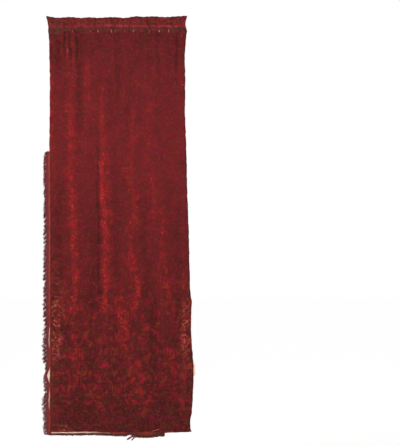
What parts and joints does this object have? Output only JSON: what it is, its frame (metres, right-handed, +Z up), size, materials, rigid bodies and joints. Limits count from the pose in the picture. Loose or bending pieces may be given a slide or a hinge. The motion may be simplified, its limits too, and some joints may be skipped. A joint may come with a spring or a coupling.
{
  "type": "velvet drape",
  "caption": "Lined velvet curtain panel with a traditional ogee pattern, a pinched heading and a worn fringe down one side and along the hem.",
  "frame": {"origin": "middle of the top edge, where the panel is held up", "axes": "+Z up along the drop, +X across the panel to the viewer's right, -Y out of the velvet front"},
  "size_m": [0.9981, 0.0309, 2.7807],
  "materials": {
    "velvet": "crimson cut velvet",
    "lining": "cream cotton",
    "fringe": "brown cut pile"
  },
  "bodies": {
    "root": {"velvet_panel": "velvet", "lining": "lining", "side_fringe": "fringe", "bottom_fringe": "fringe"}
  },
  "joints": []
}
